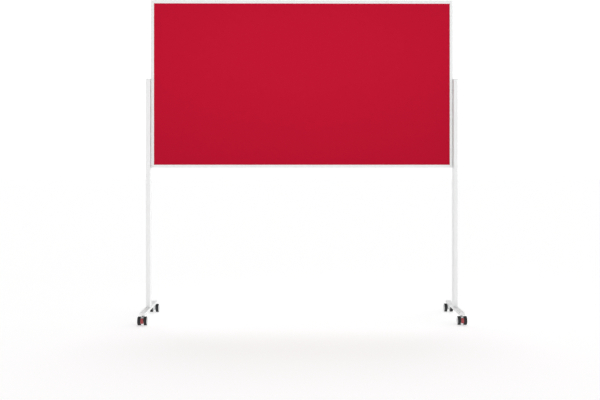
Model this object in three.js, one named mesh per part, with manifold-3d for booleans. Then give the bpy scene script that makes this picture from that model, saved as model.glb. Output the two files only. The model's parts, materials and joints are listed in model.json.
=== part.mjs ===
// Mobile revolving display board: a framed two-sided panel turns end over end between two
// uprights, each standing on a foot bar with two twin-wheel castors. The front castors are braked.
// Millimetres, +Z up. X runs along the board, the pinning face looks towards -Y, and the origin
// is on the floor, midway between the four castors.

import * as THREE from 'three';
import { mergeVertices } from 'three/addons/utils/BufferGeometryUtils.js';
import Module from 'manifold-3d';

const wasm = await Module();
wasm.setup();

// ---------------------------------------------------------------- driving dimensions

const GAP = 0.3; // between pieces that touch

// board
const BOARD_WIDTH = 1804;
const BOARD_HEIGHT = 1000;
const BOARD_TOP = 1900;
const FRAME_DEPTH = 25; // across the board, front to back
const FRAME_FACE = 18; // width of the visible rail
const LIP = 2; // thickness of the rail's front and back lips
const RAIL_WALL = 1.8; // outer wall of a rail, and its inner web
const WEB_POSITION = 10; // from the rail's outer edge to its web
const RAIL_CORNER = 1.6; // rounding of a rail's two outer edges
const FELT_THICKNESS = 2.5;
const SHEET_THICKNESS = 0.7;
const KEY_LEG = 60; // length of each leg of a corner key

// stand
const SIDE_CLEARANCE = 2; // between the board and each upright
const UPRIGHT_WIDTH = 25;
const UPRIGHT_DEPTH = 60;
const UPRIGHT_WALL = 1.5;
const UPRIGHT_CORNER = 3;
const UPRIGHT_ABOVE_PIVOT = 30;
const UPRIGHT_CAP = 3; // thickness of the cap's plate
const CAP_PLUG = 12; // depth of the cap's plug in the tube
const PLUG_CORNER = 1.2; // rounding of whatever fits inside the tube
const FOOT_LENGTH = 480;
const FOOT_WIDTH = 32;
const FOOT_HEIGHT = 15;
const FOOT_UNDERSIDE = 55;
const FOOT_CORNER = 3;
const INSERT_HEIGHT = 25;
const SCREW_HEAD = 6.5; // radius
const SCREW_HEAD_HEIGHT = 5;
const SCREW_RECESS = 0.5; // from the foot's underside up to the screw head
const SCREW_SOCKET = 3; // depth and radius of the socket in the screw head

// pivots
const BOLT_SHANK = 4; // radius
const BOLT_HEAD = 8; // radius
const BOLT_HEAD_HEIGHT = 6;
const BOLT_CHAMFER = 1;
const BOLT_SOCKET = 3.5; // depth and radius of the socket in the bolt head
const BUSH_BARREL = 6; // radius
const BUSH_REACH = 7; // from the tube's inner face to the barrel's end
const BUSH_FLANGE = 10; // radius
const BUSH_CLEARANCE = 0.4; // between the board and the bush's flange
const ACCESS_HOLE = 9.3; // radius
const ACCESS_DEPTH = 6; // of the plug's barrel in the access hole
const ACCESS_OVERLAP = 2; // of the plug's flange beyond the hole
const ACCESS_CROWN = 1.2; // rise of the plug above the tube
const NUT_WIDTH = 20;
const NUT_LENGTH = 40;
const NUT_CORNER = 1;

// castors
const WHEEL_RADIUS = 25;
const TYRE_WIDTH = 17;
const TYRE_BORE = 19; // radius
const TYRE_SHOULDER = 2.5;
const WHEEL_GAP = 18; // between the two wheels of one castor
const HUB_COVER = 23; // radius of the hub's outer cover
const HUB_RIM = 0.6; // thickness of the cover at its edge
const HUB_DOME = 2.5; // height of the cover's middle above the tyre's side
const TRAIL = 19; // from the swivel axis to the wheel axis
const SWIVEL_POSITION = 212; // from the middle of the foot
const HOUSING_WIDTH = 15;
const HOUSING_RIB = 9; // width of a braked housing beside the pedal's ears
const HOUSING_RADIUS = 10; // round the axle
const HOUSING_TOP = 48.5;
const HOUSING_NECK = 8; // from the swivel axis to where the rib begins
const HOUSING_RELIEF = 9.5; // height above the axle up to which it makes room for the ears
const HOOD_THICKNESS = 5; // of the housing's hood between the wheels
const HOUSING_HEEL = 12; // height of the back curve above the axle
const AXLE_RADIUS = 3;
const AXLE_LENGTH = 42;
const STEM_COLLAR = 7.5; // radius
const STEM_PIN = 4; // radius
const STEM_CHAMFER = 0.6;
const STEM_DEPTH = 14.5; // in the housing
const STEM_COVER = 2; // of foot bar left above the stem
const PEDAL_WIDTH = 15.6;
const PEDAL_OUTER = 24.4; // radius from the axle
const PEDAL_PLATE = 3.6;
const PEDAL_EAR = 7.5; // radius
const PEDAL_RELIEF = 1.5; // between the plate's inside and the slot for the housing's rib

const CURVE_STEPS = 3; // on each rounded corner
const ROUND_STEPS = 24; // on a wheel
const PIN_STEPS = 12; // on a pin or a hole
const PLUG_STEPS = 20; // on the access plug and its hole
const PROFILE_STEPS = 8; // on each arc of a housing or a pedal

// worked out from the dimensions above
const PIVOT_HEIGHT = BOARD_TOP - BOARD_HEIGHT / 2;
const FOOT_TOP = FOOT_UNDERSIDE + FOOT_HEIGHT;
const UPRIGHT_TOP = PIVOT_HEIGHT + UPRIGHT_ABOVE_PIVOT;
const UPRIGHT_INNER = BOARD_WIDTH / 2 + SIDE_CLEARANCE;
const UPRIGHT_X = UPRIGHT_INNER + UPRIGHT_WIDTH / 2;
const PANEL_EDGE = WEB_POSITION + RAIL_WALL + GAP; // from the board's outer edge
const SLOT_HALF = FRAME_DEPTH / 2 - LIP; // half of the space between the lips
const CHANNEL_HALF = FRAME_DEPTH / 2 - RAIL_WALL; // half of the corner keys' channel

// ---------------------------------------------------------------- materials

function finish(color, roughness, metalness = 0) {
  return { color, roughness, metalness };
}

const FRAME_WHITE = finish(0xf2f3f3, 0.45);
const STAND_WHITE = finish(0xf0f1f1, 0.45);
const CAP_WHITE = finish(0xeeeeee, 0.5);
const FELT_RED = finish(0xc11732, 0.95);
const CORE_BROWN = finish(0xb59a74, 0.9);
const SHEET_WHITE = finish(0xf8f9f9, 0.15);
const KEY_GREY = finish(0x8d9093, 0.6);
const STEEL = finish(0xb4b7ba, 0.35, 0.9);
const BUSH_GREY = finish(0xd9dadb, 0.5);
const CASTOR_GREY = finish(0xc9cbcc, 0.45);
const TYRE_BLACK = finish(0x2b2c2e, 0.75);
const BRAKE_RED = finish(0xc22630, 0.4);

// ---------------------------------------------------------------- shape helpers

function rounded(width, height, radius) {
  const x = width / 2;
  const y = height / 2;
  const shape = new THREE.Shape();
  shape.moveTo(-x + radius, -y);
  shape.lineTo(x - radius, -y);
  shape.absarc(x - radius, -y + radius, radius, -Math.PI / 2, 0);
  shape.lineTo(x, y - radius);
  shape.absarc(x - radius, y - radius, radius, 0, Math.PI / 2);
  shape.lineTo(-x + radius, y);
  shape.absarc(-x + radius, y - radius, radius, Math.PI / 2, Math.PI);
  shape.lineTo(-x, -y + radius);
  shape.absarc(-x + radius, -y + radius, radius, Math.PI, Math.PI * 1.5);
  return shape;
}

function circlePath(x, y, radius) {
  const path = new THREE.Path();
  path.absarc(x, y, radius, 0, Math.PI * 2, true);
  return path;
}

function extrude(shape, depth, curveSegments = CURVE_STEPS) {
  return new THREE.ExtrudeGeometry(shape, { depth, bevelEnabled: false, curveSegments });
}

// An outline drawn in (y, z) and extruded along X, centred on x = 0.
function extrudeAlongX(shape, width, curveSegments) {
  const geometry = extrude(shape, width, curveSegments);
  geometry.translate(0, 0, -width / 2);
  geometry.rotateX(Math.PI / 2);
  geometry.rotateZ(Math.PI / 2);
  return geometry;
}

// A profile of [radius, height] points turned about the Z axis.
function turned(profile, steps) {
  const points = profile.map(([radius, height]) => new THREE.Vector2(radius, height));
  const geometry = new THREE.LatheGeometry(points, steps);
  geometry.rotateX(Math.PI / 2);
  return geometry;
}

// The same about the X axis, with height measured along +X.
function turnedAlongX(profile, steps) {
  return turned(profile, steps).rotateY(Math.PI / 2);
}

function pin(radius, bottom, top, steps = PIN_STEPS) {
  return turned([[0, bottom], [radius, bottom], [radius, top], [0, top]], steps);
}

function solid(geometry) {
  const bare = geometry.clone();
  bare.deleteAttribute('normal');
  bare.deleteAttribute('uv');
  const merged = mergeVertices(bare, 1e-4);
  const corners = merged.index.array;
  const triangles = [];
  for (let i = 0; i < corners.length; i += 3) {
    const [a, b, c] = corners.subarray(i, i + 3);
    if (a !== b && b !== c && c !== a) {
      triangles.push(a, b, c);
    }
  }
  const mesh = new wasm.Mesh({
    numProp: 3,
    vertProperties: new Float32Array(merged.attributes.position.array),
    triVerts: new Uint32Array(triangles),
  });
  return new wasm.Manifold(mesh);
}

function geometryOf(manifold) {
  const mesh = manifold.getMesh();
  const geometry = new THREE.BufferGeometry();
  geometry.setAttribute('position', new THREE.BufferAttribute(mesh.vertProperties, 3));
  geometry.setIndex(new THREE.BufferAttribute(mesh.triVerts, 1));
  geometry.computeVertexNormals();
  return geometry;
}

function cut(geometry, ...tools) {
  let body = solid(geometry);
  for (const tool of tools) {
    body = body.subtract(solid(tool));
  }
  return geometryOf(body);
}

function piece(name, geometry, look) {
  const mesh = new THREE.Mesh(geometry, new THREE.MeshStandardMaterial(look));
  mesh.name = name;
  return mesh;
}

// ---------------------------------------------------------------- board

// Rail section: x is measured from the outer edge inwards, y across the board. A closed channel
// holds the corner keys, and an open slot beyond the web holds the panel.
function railSection() {
  const depth = FRAME_DEPTH / 2;
  const web = WEB_POSITION + RAIL_WALL;
  const section = new THREE.Shape();
  section.moveTo(RAIL_CORNER, -depth);
  section.lineTo(FRAME_FACE, -depth);
  section.lineTo(FRAME_FACE, -SLOT_HALF);
  section.lineTo(web, -SLOT_HALF);
  section.lineTo(web, SLOT_HALF);
  section.lineTo(FRAME_FACE, SLOT_HALF);
  section.lineTo(FRAME_FACE, depth);
  section.lineTo(RAIL_CORNER, depth);
  section.absarc(RAIL_CORNER, depth - RAIL_CORNER, RAIL_CORNER, Math.PI / 2, Math.PI);
  section.lineTo(0, -depth + RAIL_CORNER);
  section.absarc(RAIL_CORNER, -depth + RAIL_CORNER, RAIL_CORNER, Math.PI, Math.PI * 1.5);
  const channel = new THREE.Path();
  channel.moveTo(RAIL_WALL, -CHANNEL_HALF);
  channel.lineTo(RAIL_WALL, CHANNEL_HALF);
  channel.lineTo(WEB_POSITION, CHANNEL_HALF);
  channel.lineTo(WEB_POSITION, -CHANNEL_HALF);
  section.holes.push(channel);
  return section;
}

// A rail along +Z with both ends mitred: each end steps back as the section goes inwards.
function mitredRail(length) {
  const geometry = extrude(railSection(), 1);
  const position = geometry.attributes.position;
  for (let i = 0; i < position.count; i += 1) {
    const reach = length / 2 - position.getX(i) - GAP / 2;
    position.setZ(i, position.getZ(i) < 0.5 ? -reach : reach);
  }
  return geometry;
}

// The four rails are made about the board's centre: inwards is +X before the rail is turned.
function rail(name, length, halfSpan, turn, holes = []) {
  const geometry = mitredRail(length);
  geometry.translate(-halfSpan, 0, 0);
  const drilled = holes.length > 0 ? cut(geometry, ...holes) : geometry;
  drilled.rotateY(turn);
  return piece(name, drilled, FRAME_WHITE);
}

function layer(name, front, back, look) {
  const width = BOARD_WIDTH - 2 * PANEL_EDGE;
  const height = BOARD_HEIGHT - 2 * PANEL_EDGE;
  const geometry = new THREE.BoxGeometry(width, back - front, height);
  geometry.translate(0, (front + back) / 2, 0);
  return piece(name, geometry, look);
}

// L-shaped key in the channels of two rails, drawn for the lower left corner.
function cornerKey(name, turn, mirrored) {
  const outer = RAIL_WALL + GAP;
  const inner = WEB_POSITION - GAP;
  const shape = new THREE.Shape();
  shape.moveTo(outer, outer);
  shape.lineTo(KEY_LEG, outer);
  shape.lineTo(KEY_LEG, inner);
  shape.lineTo(inner, inner);
  shape.lineTo(inner, KEY_LEG);
  shape.lineTo(outer, KEY_LEG);
  const thickness = 2 * (CHANNEL_HALF - GAP);
  const geometry = extrude(shape, thickness);
  geometry.rotateX(Math.PI / 2);
  geometry.translate(-BOARD_WIDTH / 2, thickness / 2, -BOARD_HEIGHT / 2);
  if (mirrored) {
    geometry.rotateZ(Math.PI);
  }
  geometry.rotateY(turn);
  return piece(name, geometry, KEY_GREY);
}

// Threaded plate in a side rail's channel, drawn for the left rail.
function pivotNut(name, turn) {
  const thickness = WEB_POSITION - RAIL_WALL - 2 * GAP;
  const plate = rounded(NUT_WIDTH, NUT_LENGTH, NUT_CORNER);
  plate.holes.push(circlePath(0, 0, BOLT_SHANK + GAP));
  const geometry = extrudeAlongX(plate, thickness, PIN_STEPS / 2);
  geometry.translate(-BOARD_WIDTH / 2 + (RAIL_WALL + WEB_POSITION) / 2, 0, 0);
  geometry.rotateZ(turn);
  return piece(name, geometry, STEEL);
}

// Shoulder bolt from inside the upright through the bush into the nut, drawn for the left side
// with its head towards -X.
function pivotBolt(name, turn) {
  const tip = -BOARD_WIDTH / 2 + WEB_POSITION - GAP;
  const seat = -UPRIGHT_INNER - BUSH_REACH - GAP;
  const headEnd = seat - BOLT_HEAD_HEIGHT;
  const geometry = turnedAlongX([
    [0, headEnd + BOLT_SOCKET],
    [BOLT_SOCKET, headEnd + BOLT_SOCKET],
    [BOLT_SOCKET, headEnd],
    [BOLT_HEAD - BOLT_CHAMFER, headEnd],
    [BOLT_HEAD, headEnd + BOLT_CHAMFER],
    [BOLT_HEAD, seat],
    [BOLT_SHANK, seat],
    [BOLT_SHANK, tip],
    [0, tip],
  ], PIN_STEPS);
  geometry.rotateZ(turn);
  return piece(name, geometry, STEEL);
}

function makeBoard() {
  const board = new THREE.Group();
  board.position.z = PIVOT_HEIGHT;
  const face = SLOT_HALF - GAP;
  const feltBack = -face + FELT_THICKNESS;
  const sheetFront = face - SHEET_THICKNESS;
  board.add(layer('felt_panel', -face, feltBack, FELT_RED));
  board.add(layer('board_core', feltBack + GAP, sheetFront - GAP, CORE_BROWN));
  board.add(layer('whiteboard_sheet', sheetFront, face, SHEET_WHITE));

  const halfWidth = BOARD_WIDTH / 2;
  const halfHeight = BOARD_HEIGHT / 2;
  const boltHole = pin(BOLT_SHANK + GAP, -1, WEB_POSITION - 1);
  boltHole.rotateY(Math.PI / 2);
  boltHole.translate(-halfWidth, 0, 0);
  board.add(rail('frame_left', BOARD_HEIGHT, halfWidth, 0, [boltHole]));
  board.add(rail('frame_right', BOARD_HEIGHT, halfWidth, Math.PI, [boltHole]));
  board.add(rail('frame_top', BOARD_WIDTH, halfHeight, Math.PI / 2));
  board.add(rail('frame_bottom', BOARD_WIDTH, halfHeight, -Math.PI / 2));

  board.add(cornerKey('corner_key_bottom_left', 0, false));
  board.add(cornerKey('corner_key_bottom_right', 0, true));
  board.add(cornerKey('corner_key_top_left', Math.PI, true));
  board.add(cornerKey('corner_key_top_right', Math.PI, false));

  for (const [side, turn] of [['left', 0], ['right', Math.PI]]) {
    board.add(pivotNut(`pivot_nut_${side}`, turn));
    board.add(pivotBolt(`pivot_bolt_${side}`, turn));
  }
  return board;
}

// ---------------------------------------------------------------- stand

// Rectangular tube, open at both ends. `outward` is the side away from the board.
function uprightTube(outward) {
  const bottom = FOOT_TOP + GAP;
  const top = UPRIGHT_TOP - UPRIGHT_CAP - GAP;
  const section = rounded(UPRIGHT_WIDTH, UPRIGHT_DEPTH, UPRIGHT_CORNER);
  const bore = rounded(
    UPRIGHT_WIDTH - 2 * UPRIGHT_WALL,
    UPRIGHT_DEPTH - 2 * UPRIGHT_WALL,
    UPRIGHT_CORNER - UPRIGHT_WALL,
  );
  section.holes.push(new THREE.Path(bore.getPoints(CURVE_STEPS)));
  const tube = extrude(section, top - bottom);
  tube.translate(0, 0, bottom);
  const drillStart = UPRIGHT_WIDTH / 4; // inside the bore, clear of both walls
  const bushHole = pin(BUSH_BARREL + GAP, drillStart, UPRIGHT_WIDTH);
  const accessHole = pin(ACCESS_HOLE, drillStart, UPRIGHT_WIDTH, PLUG_STEPS);
  bushHole.rotateY(-outward * Math.PI / 2);
  accessHole.rotateY(outward * Math.PI / 2);
  bushHole.translate(0, 0, PIVOT_HEIGHT);
  accessHole.translate(0, 0, PIVOT_HEIGHT);
  return cut(tube, bushHole, accessHole);
}

// Outline of what slides inside the tube.
function tubeFilling() {
  const inset = 2 * (UPRIGHT_WALL + GAP);
  return rounded(UPRIGHT_WIDTH - inset, UPRIGHT_DEPTH - inset, PLUG_CORNER);
}

// Closing cap with a plug that goes down into the tube.
function uprightCap() {
  const plate = extrude(rounded(UPRIGHT_WIDTH, UPRIGHT_DEPTH, UPRIGHT_CORNER), UPRIGHT_CAP);
  plate.translate(0, 0, UPRIGHT_TOP - UPRIGHT_CAP);
  const plug = extrude(tubeFilling(), CAP_PLUG + UPRIGHT_CAP / 2);
  plug.translate(0, 0, UPRIGHT_TOP - UPRIGHT_CAP - CAP_PLUG);
  return geometryOf(solid(plate).add(solid(plug)));
}

// Flanged bush in the tube's inner wall, and the plug that closes the access hole opposite.
// Both are drawn for the right side, about the pivot axis.
function pivotBush() {
  const bore = BOLT_SHANK + GAP;
  const flangeInner = UPRIGHT_INNER - SIDE_CLEARANCE + BUSH_CLEARANCE;
  const flangeOuter = UPRIGHT_INNER - GAP;
  const end = UPRIGHT_INNER + BUSH_REACH;
  return turnedAlongX([
    [bore, flangeInner],
    [BUSH_FLANGE, flangeInner],
    [BUSH_FLANGE, flangeOuter],
    [BUSH_BARREL, flangeOuter],
    [BUSH_BARREL, end],
    [bore, end],
    [bore, flangeInner],
  ], PIN_STEPS);
}

function accessPlug() {
  const wall = UPRIGHT_INNER + UPRIGHT_WIDTH + GAP;
  const barrel = ACCESS_HOLE - GAP;
  const flange = ACCESS_HOLE + ACCESS_OVERLAP;
  return turnedAlongX([
    [0, wall - ACCESS_DEPTH],
    [barrel, wall - ACCESS_DEPTH],
    [barrel, wall],
    [flange, wall],
    [flange, wall + ACCESS_CROWN / 2],
    [flange - ACCESS_CROWN, wall + ACCESS_CROWN],
    [0, wall + ACCESS_CROWN],
  ], PLUG_STEPS);
}

// Threaded insert in the foot of the tube, and the screw that comes up through the foot bar.
function footInsert() {
  const block = tubeFilling();
  block.holes.push(circlePath(0, 0, BOLT_SHANK + GAP));
  const geometry = extrude(block, INSERT_HEIGHT, PIN_STEPS / 2);
  geometry.translate(0, 0, FOOT_TOP + 2 * GAP);
  return geometry;
}

function footScrew() {
  const headBottom = FOOT_UNDERSIDE + SCREW_RECESS;
  const headTop = headBottom + SCREW_HEAD_HEIGHT;
  const end = FOOT_TOP + INSERT_HEIGHT - BOLT_SHANK / 2;
  return turned([
    [0, headBottom + SCREW_SOCKET],
    [SCREW_SOCKET, headBottom + SCREW_SOCKET],
    [SCREW_SOCKET, headBottom],
    [SCREW_HEAD, headBottom],
    [SCREW_HEAD, headTop],
    [BOLT_SHANK, headTop],
    [BOLT_SHANK, end],
    [0, end],
  ], PIN_STEPS);
}

// Flat foot bar with rounded ends, drilled for the upright's screw and for both castor stems.
function footBar() {
  const bar = extrude(rounded(FOOT_WIDTH, FOOT_LENGTH, FOOT_CORNER), FOOT_HEIGHT);
  bar.translate(0, 0, FOOT_UNDERSIDE);
  const drillStart = FOOT_UNDERSIDE - FOOT_HEIGHT; // below the bar
  const headSpace = SCREW_RECESS + SCREW_HEAD_HEIGHT + GAP;
  const holes = [
    pin(BOLT_SHANK + GAP, drillStart, FOOT_TOP + FOOT_HEIGHT),
    pin(SCREW_HEAD + GAP, drillStart, FOOT_UNDERSIDE + headSpace),
  ];
  for (const y of [-SWIVEL_POSITION, SWIVEL_POSITION]) {
    const stemHole = pin(STEM_PIN + GAP, drillStart, FOOT_TOP - STEM_COVER);
    stemHole.translate(0, y, 0);
    holes.push(stemHole);
  }
  return cut(bar, ...holes);
}

function makeSide(side, outward) {
  const group = new THREE.Group();
  group.position.x = outward * UPRIGHT_X;
  group.add(piece(`upright_${side}`, uprightTube(outward), STAND_WHITE));
  group.add(piece(`upright_cap_${side}`, uprightCap(), CAP_WHITE));
  group.add(piece(`foot_insert_${side}`, footInsert(), STEEL));
  group.add(piece(`foot_screw_${side}`, footScrew(), STEEL));
  group.add(piece(`foot_bar_${side}`, footBar(), STAND_WHITE));
  return group;
}

function makePivotFittings(side, turn) {
  const group = new THREE.Group();
  group.position.z = PIVOT_HEIGHT;
  group.rotation.z = turn;
  group.add(piece(`pivot_bush_${side}`, pivotBush(), BUSH_GREY));
  group.add(piece(`pivot_cover_${side}`, accessPlug(), CAP_WHITE));
  return group;
}

// ---------------------------------------------------------------- castors

// A castor is drawn with its swivel axis on Z and its wheels trailing towards -Y.

function castorStem() {
  const bottom = HOUSING_TOP - STEM_DEPTH;
  const top = FOOT_TOP - STEM_COVER - GAP;
  return turned([
    [0, bottom],
    [STEM_PIN - STEM_CHAMFER, bottom],
    [STEM_PIN, bottom + STEM_CHAMFER],
    [STEM_PIN, HOUSING_TOP + GAP],
    [STEM_COLLAR, HOUSING_TOP + GAP],
    [STEM_COLLAR, FOOT_UNDERSIDE - GAP],
    [STEM_PIN, FOOT_UNDERSIDE - GAP],
    [STEM_PIN, top - STEM_CHAMFER],
    [STEM_PIN - STEM_CHAMFER, top],
    [0, top],
  ], PIN_STEPS);
}

// Side outline of the housing in (y, z): the hood between the wheels, the web down to the axle,
// and up the back to the stem socket.
function housingOutline() {
  const back = HOUSING_WIDTH / 2;
  const top = THREE.MathUtils.degToRad(90);
  const webTop = THREE.MathUtils.degToRad(112);
  const hoodEnd = THREE.MathUtils.degToRad(128);
  const webFoot = THREE.MathUtils.degToRad(150);
  const underside = THREE.MathUtils.degToRad(270);
  const hood = HOUSING_TOP - WHEEL_RADIUS;
  const shape = new THREE.Shape();
  shape.absarc(-TRAIL, WHEEL_RADIUS, hood, top, hoodEnd);
  shape.absarc(-TRAIL, WHEEL_RADIUS, hood - HOOD_THICKNESS, hoodEnd, webTop, true);
  shape.absarc(-TRAIL, WHEEL_RADIUS, HOUSING_RADIUS, webFoot, underside);
  shape.lineTo(-TRAIL + HOUSING_NECK, WHEEL_RADIUS - HOUSING_RADIUS);
  const elbow = WHEEL_RADIUS - HOUSING_RADIUS / 2;
  shape.quadraticCurveTo(back, elbow, back, WHEEL_RADIUS + HOUSING_HEEL);
  shape.lineTo(back, HOUSING_TOP);
  shape.holes.push(circlePath(-TRAIL, WHEEL_RADIUS, AXLE_RADIUS + GAP));
  return shape;
}

function castorHousing(braked) {
  const body = extrudeAlongX(housingOutline(), HOUSING_WIDTH, PROFILE_STEPS);
  const socket = pin(STEM_PIN + GAP, HOUSING_TOP - STEM_DEPTH - GAP, HOUSING_TOP + GAP);
  const cuts = [socket];
  if (braked) {
    const depth = HOUSING_WIDTH;
    for (const side of [-1, 1]) {
      const height = WHEEL_RADIUS + HOUSING_RELIEF;
      const relief = new THREE.BoxGeometry(depth, 2 * TRAIL, height);
      const reach = HOUSING_NECK + TRAIL + GAP;
      relief.translate(side * (HOUSING_RIB + depth) / 2, -reach, height / 2);
      cuts.push(relief);
    }
  }
  return cut(body, ...cuts);
}

function axle() {
  const half = AXLE_LENGTH / 2;
  const geometry = turnedAlongX([
    [0, -half],
    [AXLE_RADIUS, -half],
    [AXLE_RADIUS, half],
    [0, half],
  ], PIN_STEPS);
  geometry.translate(0, -TRAIL, WHEEL_RADIUS);
  return geometry;
}

// Tread band and hub of the wheel on the +X side; the other one is the same turned half round.
function tyre() {
  const inner = WHEEL_GAP / 2;
  const outer = inner + TYRE_WIDTH;
  const soft = TYRE_SHOULDER;
  const chamfer = soft * 0.3;
  return turnedAlongX([
    [TYRE_BORE, inner],
    [WHEEL_RADIUS - soft, inner],
    [WHEEL_RADIUS - chamfer, inner + chamfer],
    [WHEEL_RADIUS, inner + soft],
    [WHEEL_RADIUS, outer - soft],
    [WHEEL_RADIUS - chamfer, outer - chamfer],
    [WHEEL_RADIUS - soft, outer],
    [TYRE_BORE, outer],
    [TYRE_BORE, inner],
  ], ROUND_STEPS);
}

function hub() {
  const bore = AXLE_RADIUS + GAP;
  const inner = WHEEL_GAP / 2 + GAP;
  const boreEnd = AXLE_LENGTH / 2 + GAP;
  const outer = WHEEL_GAP / 2 + TYRE_WIDTH + GAP;
  const barrel = TYRE_BORE - GAP;
  const domeEdge = HUB_COVER * 0.72;
  return turnedAlongX([
    [0, boreEnd],
    [bore, boreEnd],
    [bore, inner],
    [barrel, inner],
    [barrel, outer],
    [HUB_COVER, outer],
    [HUB_COVER, outer + HUB_RIM],
    [domeEdge, outer + HUB_DOME * 0.76],
    [0, outer + HUB_DOME],
  ], ROUND_STEPS);
}

// Brake pedal: two ears on the axle, either side of the housing's rib, and a curved plate that
// faces outwards between the wheels. Its outline is in (y, z) about the axle.
function brakePedal() {
  const plateInner = PEDAL_OUTER - PEDAL_PLATE;
  const high = THREE.MathUtils.degToRad(138);
  const upperArm = THREE.MathUtils.degToRad(150);
  const lowerArm = THREE.MathUtils.degToRad(187);
  const low = THREE.MathUtils.degToRad(216);
  const earStart = THREE.MathUtils.degToRad(225);
  const earEnd = THREE.MathUtils.degToRad(108);
  const shape = new THREE.Shape();
  shape.absarc(0, 0, PEDAL_OUTER, high, low);
  shape.absarc(0, 0, plateInner, low, lowerArm, true);
  shape.absarc(0, 0, PEDAL_EAR, earStart, earEnd);
  shape.absarc(0, 0, plateInner, upperArm, high, true);
  const bore = new THREE.Path();
  bore.absarc(0, 0, AXLE_RADIUS + GAP, 0, Math.PI * 2, true);
  shape.holes.push(bore);
  const body = extrudeAlongX(shape, PEDAL_WIDTH, PROFILE_STEPS);
  const slotHalf = HOUSING_RIB / 2 + GAP;
  const slotRadius = plateInner - PEDAL_RELIEF;
  const slot = turnedAlongX([
    [0, -slotHalf],
    [slotRadius, -slotHalf],
    [slotRadius, slotHalf],
    [0, slotHalf],
  ], ROUND_STEPS);
  const pedal = cut(body, slot);
  pedal.translate(0, -TRAIL, WHEEL_RADIUS);
  return pedal;
}

function makeWheel(castorName, wheelName, turn) {
  const wheel = new THREE.Group();
  wheel.position.set(0, -TRAIL, WHEEL_RADIUS);
  wheel.rotation.z = turn;
  wheel.add(piece(`tyre_${castorName}_${wheelName}`, tyre(), TYRE_BLACK));
  wheel.add(piece(`hub_${castorName}_${wheelName}`, hub(), CASTOR_GREY));
  return wheel;
}

function makeCastor(name, x, y, turn, braked) {
  const castor = new THREE.Group();
  castor.position.set(x, y, 0);
  castor.rotation.z = turn;
  castor.add(piece(`castor_stem_${name}`, castorStem(), STEEL));
  castor.add(piece(`castor_housing_${name}`, castorHousing(braked), CASTOR_GREY));
  castor.add(piece(`castor_axle_${name}`, axle(), STEEL));
  castor.add(makeWheel(name, 'a', 0));
  castor.add(makeWheel(name, 'b', Math.PI));
  if (braked) {
    castor.add(piece(`brake_pedal_${name}`, brakePedal(), BRAKE_RED));
  }
  return castor;
}

// ---------------------------------------------------------------- assembly

const model = new THREE.Group();
model.add(makeBoard());
for (const [side, outward, turn] of [['left', -1, Math.PI], ['right', 1, 0]]) {
  model.add(makeSide(side, outward));
  model.add(makePivotFittings(side, turn));
  const x = outward * UPRIGHT_X;
  model.add(makeCastor(`front_${side}`, x, -SWIVEL_POSITION, 0, true));
  model.add(makeCastor(`rear_${side}`, x, SWIVEL_POSITION, Math.PI, false));
}

export default model;
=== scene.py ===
import json
import math

import bmesh
import bpy
from mathutils import Matrix, Vector, geometry, noise


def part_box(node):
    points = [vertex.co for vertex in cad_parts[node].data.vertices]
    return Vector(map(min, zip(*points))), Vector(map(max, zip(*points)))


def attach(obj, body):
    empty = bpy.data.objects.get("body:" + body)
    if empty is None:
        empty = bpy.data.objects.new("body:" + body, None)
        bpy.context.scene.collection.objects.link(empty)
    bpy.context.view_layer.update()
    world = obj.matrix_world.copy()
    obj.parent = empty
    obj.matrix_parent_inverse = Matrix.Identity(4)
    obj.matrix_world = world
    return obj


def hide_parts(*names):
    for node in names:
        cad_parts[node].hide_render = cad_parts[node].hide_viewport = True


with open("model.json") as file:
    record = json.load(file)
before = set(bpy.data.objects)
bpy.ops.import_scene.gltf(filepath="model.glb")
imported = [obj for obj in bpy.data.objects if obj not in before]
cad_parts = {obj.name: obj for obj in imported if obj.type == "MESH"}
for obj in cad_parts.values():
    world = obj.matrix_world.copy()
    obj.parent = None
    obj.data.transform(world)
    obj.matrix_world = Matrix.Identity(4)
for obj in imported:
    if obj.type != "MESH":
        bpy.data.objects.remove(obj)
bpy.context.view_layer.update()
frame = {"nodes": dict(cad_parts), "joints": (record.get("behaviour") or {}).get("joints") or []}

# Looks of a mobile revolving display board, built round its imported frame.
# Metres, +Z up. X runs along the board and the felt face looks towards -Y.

MM = 0.001
GAP = 0.3 * MM  # between pieces that touch, as in the frame
CRISP, FINE, EDGE = 0.1 * MM, 0.2 * MM, 0.3 * MM  # small roundings of turned and moulded edges
TUBE_WALL = 1.5 * MM  # of an upright
TUBE_CORNER = 3 * MM  # of an upright and of a foot bar
SHANK = 4 * MM  # radius of the bolts, screws and castor stems
SHANK_HOLE = SHANK + GAP
BUSH_BARREL = 6 * MM  # radius
ACCESS_HOLE = 9.3 * MM  # radius
SCREW_HEAD = 6.5 * MM  # radius, under the feet
JOINTS = {joint["name"]: joint for joint in frame["joints"]}
SIDES = ("left", "right")
CASTORS = ("front_left", "front_right", "rear_left", "rear_right")
WHEELS = ("a", "b")


# ------------------------------------------------------------------ node materials

def add_math(tree, operation, first, second):
    """Math node on two inputs, each a number or a socket."""
    node = tree.nodes.new("ShaderNodeMath")
    node.operation = operation
    for slot, value in enumerate((first, second)):
        if isinstance(value, (int, float)):
            node.inputs[slot].default_value = value
        else:
            tree.links.new(value, node.inputs[slot])
    return node.outputs["Value"]


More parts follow.
